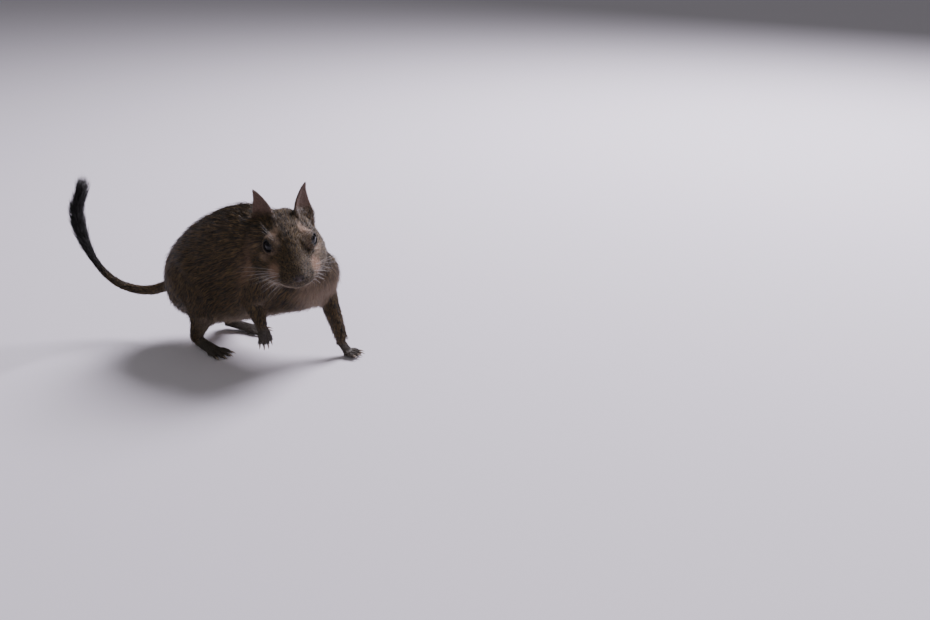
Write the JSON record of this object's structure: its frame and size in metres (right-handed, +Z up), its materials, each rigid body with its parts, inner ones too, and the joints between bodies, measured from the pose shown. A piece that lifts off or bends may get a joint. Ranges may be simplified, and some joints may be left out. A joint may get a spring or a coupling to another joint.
{
  "type": "degu figure",
  "caption": "Life-size degu standing hunched with its head turned down to one side, one forepaw raised, and its brush-tipped tail curved up behind.",
  "frame": {"origin": "on the floor, below the middle of the whole animal's box", "axes": "+X towards the animal's front, +Y to its left, +Z up"},
  "size_m": [0.1792, 0.0568, 0.1055],
  "materials": {
    "coat": "short dense agouti hair, dark brown with buff ticking",
    "ear_skin": "thin dusky skin with a fine down",
    "eye": "wet, polished, nearly black",
    "paw": "scaly grey skin with fine pale hair and horn-coloured claws",
    "tail_brush": "long stiff black hair"
  },
  "bodies": {
    "root": {"torso": "coat", "neck": "coat", "head": "coat", "eye_left": "eye", "ear_left": "ear_skin", "eye_right": "eye", "ear_right": "ear_skin", "hind_foot_right": "paw", "hind_foot_left": "paw", "fore_foot_right": "paw", "fore_foot_left": "paw", "hind_leg_right": "coat", "hind_leg_left": "coat", "fore_leg_right": "coat", "fore_leg_left": "coat", "tail_base": "coat", "tail_middle": "coat", "tail_brush": "tail_brush"}
  },
  "joints": []
}
